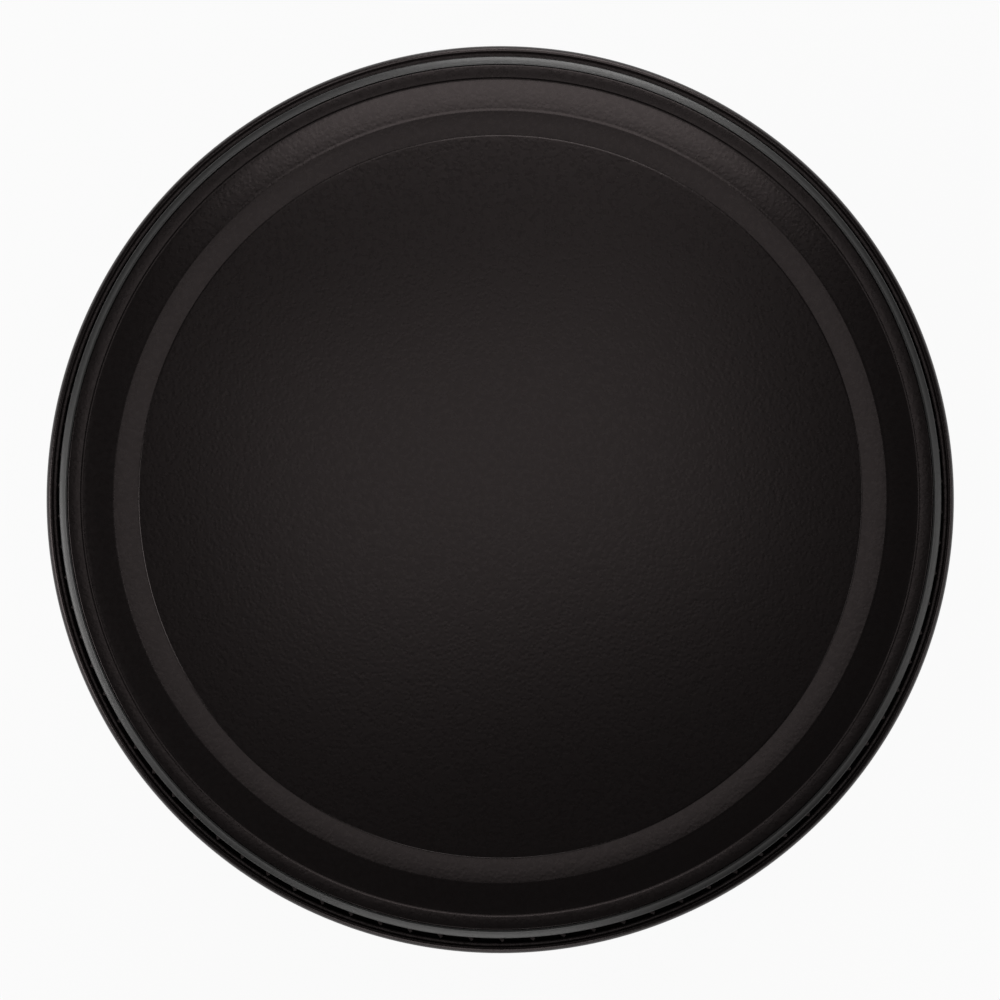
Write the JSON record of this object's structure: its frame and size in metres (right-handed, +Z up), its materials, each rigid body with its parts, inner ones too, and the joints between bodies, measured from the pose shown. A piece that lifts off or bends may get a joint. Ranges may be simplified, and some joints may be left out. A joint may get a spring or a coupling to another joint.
{
  "type": "delta printer",
  "caption": "Round-bodied desktop delta 3-D printer: a base drum and a hat with a domed lid, joined by towers with carriages, rods, effector, belts and heated bed.",
  "frame": {"origin": "on the standing plane under the centre of the round body, at the feet", "axes": "+Z up, +Y towards the back tower, -Y the front with the button and the sheet's way out"},
  "size_m": [0.27, 0.27, 0.5],
  "materials": {
    "shell_plastic": "fine moulded grain, warm near-black",
    "deck_plastic": "smooth satin",
    "trim_metal": "satin gunmetal bevel",
    "aluminium": "satin extrusion",
    "black_aluminium": "black anodised",
    "steel": "ground steel",
    "rubber": "matt",
    "belt_rubber": "toothed belt",
    "printed_plastic": "moulded",
    "carbon_rod": "satin carbon tube",
    "motor_black": "satin black lamination stack",
    "board_green": "solder mask",
    "brass": "machined",
    "flex_sheet": "textured coating",
    "diffuser": "frosted white",
    "button_plastic": "satin"
  },
  "bodies": {
    "frame": {"base_deck": "deck_plastic", "base_plate": "aluminium", "base_shell": "shell_plastic", "bed_supports": "printed_plastic", "button_ring": "diffuser", "column_covers": "shell_plastic", "column_screws": "steel", "control_board": "board_green", "heater_plate": "black_aluminium", "hub_spindle": "black_aluminium", "idler_brackets": "aluminium", "io_panel": "deck_plastic", "led_ring": "diffuser", "linear_rails": "steel", "motor_mounts": "aluminium", "rubber_feet": "rubber", "timing_belts": "belt_rubber", "top_floor": "black_aluminium", "top_shell": "shell_plastic", "tower_column_a": "aluminium", "tower_column_b": "aluminium", "tower_column_c": "aluminium", "tower_motor_a": "motor_black", "tower_motor_b": "motor_black", "tower_motor_c": "motor_black", "vent_ring": "shell_plastic"},
    "effector": {"effector_plate": "black_aluminium", "extruder_motor": "motor_black", "extruder_body": "printed_plastic", "heatsink": "aluminium", "heater_block": "aluminium", "nozzle": "brass", "fan_frame": "deck_plastic"},
    "extruder_gear": {"drive_gear": "steel"},
    "lever": {"idler_lever": "printed_plastic"},
    "fan": {"fan_rotor": "printed_plastic"},
    "hub": {"spool_hub": "deck_plastic"},
    "lid": {"lid_body": "shell_plastic", "lid_disc": "shell_plastic", "lid_trim_ring": "trim_metal"},
    "button": {"front_button": "button_plastic"},
    "rocker": {"power_rocker": "button_plastic"},
    "sheet": {"flex_plate": "flex_sheet"},
    "carriage_body_a": {"carriage_a": "printed_plastic", "rail_block_a": "steel", "rods_a": "carbon_rod"},
    "drive_wheel_a": {"motor_pulley_a": "steel"},
    "idler_wheel_a": {"idler_pulley_a": "steel"},
    "carriage_body_b": {"carriage_b": "printed_plastic", "rail_block_b": "steel", "rods_b": "carbon_rod"},
    "drive_wheel_b": {"motor_pulley_b": "steel"},
    "idler_wheel_b": {"idler_pulley_b": "steel"},
    "carriage_body_c": {"carriage_c": "printed_plastic", "rail_block_c": "steel", "rods_c": "carbon_rod"},
    "drive_wheel_c": {"motor_pulley_c": "steel"},
    "idler_wheel_c": {"idler_pulley_c": "steel"}
  },
  "joints": [
    {"name": "effector_lift", "type": "slide", "parent": "frame", "child": "effector", "axis": [0, 0, 1], "range_m": [-0.0595, 0.065]},
    {"name": "carriage_slide_a", "type": "slide", "parent": "frame", "child": "carriage_body_a", "axis": [0, 0, 1], "range_m": [-0.0595, 0.065]},
    {"name": "carriage_slide_b", "type": "slide", "parent": "frame", "child": "carriage_body_b", "axis": [0, 0, 1], "range_m": [-0.0595, 0.065]},
    {"name": "carriage_slide_c", "type": "slide", "parent": "frame", "child": "carriage_body_c", "axis": [0, 0, 1], "range_m": [-0.0595, 0.065]},
    {"name": "drive_wheel_spin_a", "type": "hinge", "parent": "frame", "child": "drive_wheel_a", "pos_m": [0, 0.102, 0.036], "axis": [0, 1, 0], "continuous": true},
    {"name": "idler_wheel_spin_a", "type": "hinge", "parent": "frame", "child": "idler_wheel_a", "pos_m": [0, 0.102, 0.436], "axis": [0, 1, 0], "continuous": true},
    {"name": "drive_wheel_spin_b", "type": "hinge", "parent": "frame", "child": "drive_wheel_b", "pos_m": [-0.08833, -0.051, 0.036], "axis": [-0.866, -0.5, 0], "continuous": true},
    {"name": "idler_wheel_spin_b", "type": "hinge", "parent": "frame", "child": "idler_wheel_b", "pos_m": [-0.08833, -0.051, 0.436], "axis": [-0.866, -0.5, 0], "continuous": true},
    {"name": "drive_wheel_spin_c", "type": "hinge", "parent": "frame", "child": "drive_wheel_c", "pos_m": [0.08833, -0.051, 0.036], "axis": [0.866, -0.5, 0], "continuous": true},
    {"name": "idler_wheel_spin_c", "type": "hinge", "parent": "frame", "child": "idler_wheel_c", "pos_m": [0.08833, -0.051, 0.436], "axis": [0.866, -0.5, 0], "continuous": true},
    {"name": "extruder_gear_spin", "type": "hinge", "parent": "effector", "child": "extruder_gear", "pos_m": [0.0064, 0, 0.211], "axis": [0, 1, 0], "continuous": true},
    {"name": "lever_release", "type": "hinge", "parent": "effector", "child": "lever", "pos_m": [-0.013, -0.0105, 0.197], "axis": [0, -1, 0], "range_deg": [0, 14], "stiffness_Nm_per_rad": 0.05, "springref_deg": -8.59},
    {"name": "fan_spin", "type": "hinge", "parent": "effector", "child": "fan", "pos_m": [0, -0.0135, 0.18], "axis": [0, 1, 0], "continuous": true},
    {"name": "spool_hub_spin", "type": "hinge", "parent": "frame", "child": "hub", "pos_m": [0, 0, 0.42], "axis": [0, 0, 1], "continuous": true},
    {"name": "lid_lift", "type": "slide", "parent": "frame", "child": "lid", "axis": [0, 0, 1], "range_m": [0, 0.12]},
    {"name": "button_press", "type": "slide", "parent": "frame", "child": "button", "axis": [0, 1, 0], "range_m": [0, 0.0015], "stiffness_N_per_m": 400, "springref_m": -0.0005},
    {"name": "rocker_tilt", "type": "hinge", "parent": "frame", "child": "rocker", "pos_m": [0.10281, 0.07552, 0.036], "axis": [-0.5, 0.866, 0], "range_deg": [-8, 8]},
    {"name": "sheet_slide", "type": "slide", "parent": "frame", "child": "sheet", "axis": [0, -1, 0], "range_m": [0, 0.16]}
  ],
  "couplings": [
    {"joint": "carriage_slide_a", "follows": "effector_lift", "ratio": 1},
    {"joint": "carriage_slide_b", "follows": "effector_lift", "ratio": 1},
    {"joint": "carriage_slide_c", "follows": "effector_lift", "ratio": 1},
    {"joint": "drive_wheel_spin_a", "follows": "effector_lift", "rad_per_m": 78.555},
    {"joint": "idler_wheel_spin_a", "follows": "effector_lift", "rad_per_m": 78.555},
    {"joint": "drive_wheel_spin_b", "follows": "effector_lift", "rad_per_m": 78.555},
    {"joint": "idler_wheel_spin_b", "follows": "effector_lift", "rad_per_m": 78.555},
    {"joint": "drive_wheel_spin_c", "follows": "effector_lift", "rad_per_m": 78.555},
    {"joint": "idler_wheel_spin_c", "follows": "effector_lift", "rad_per_m": 78.555}
  ]
}
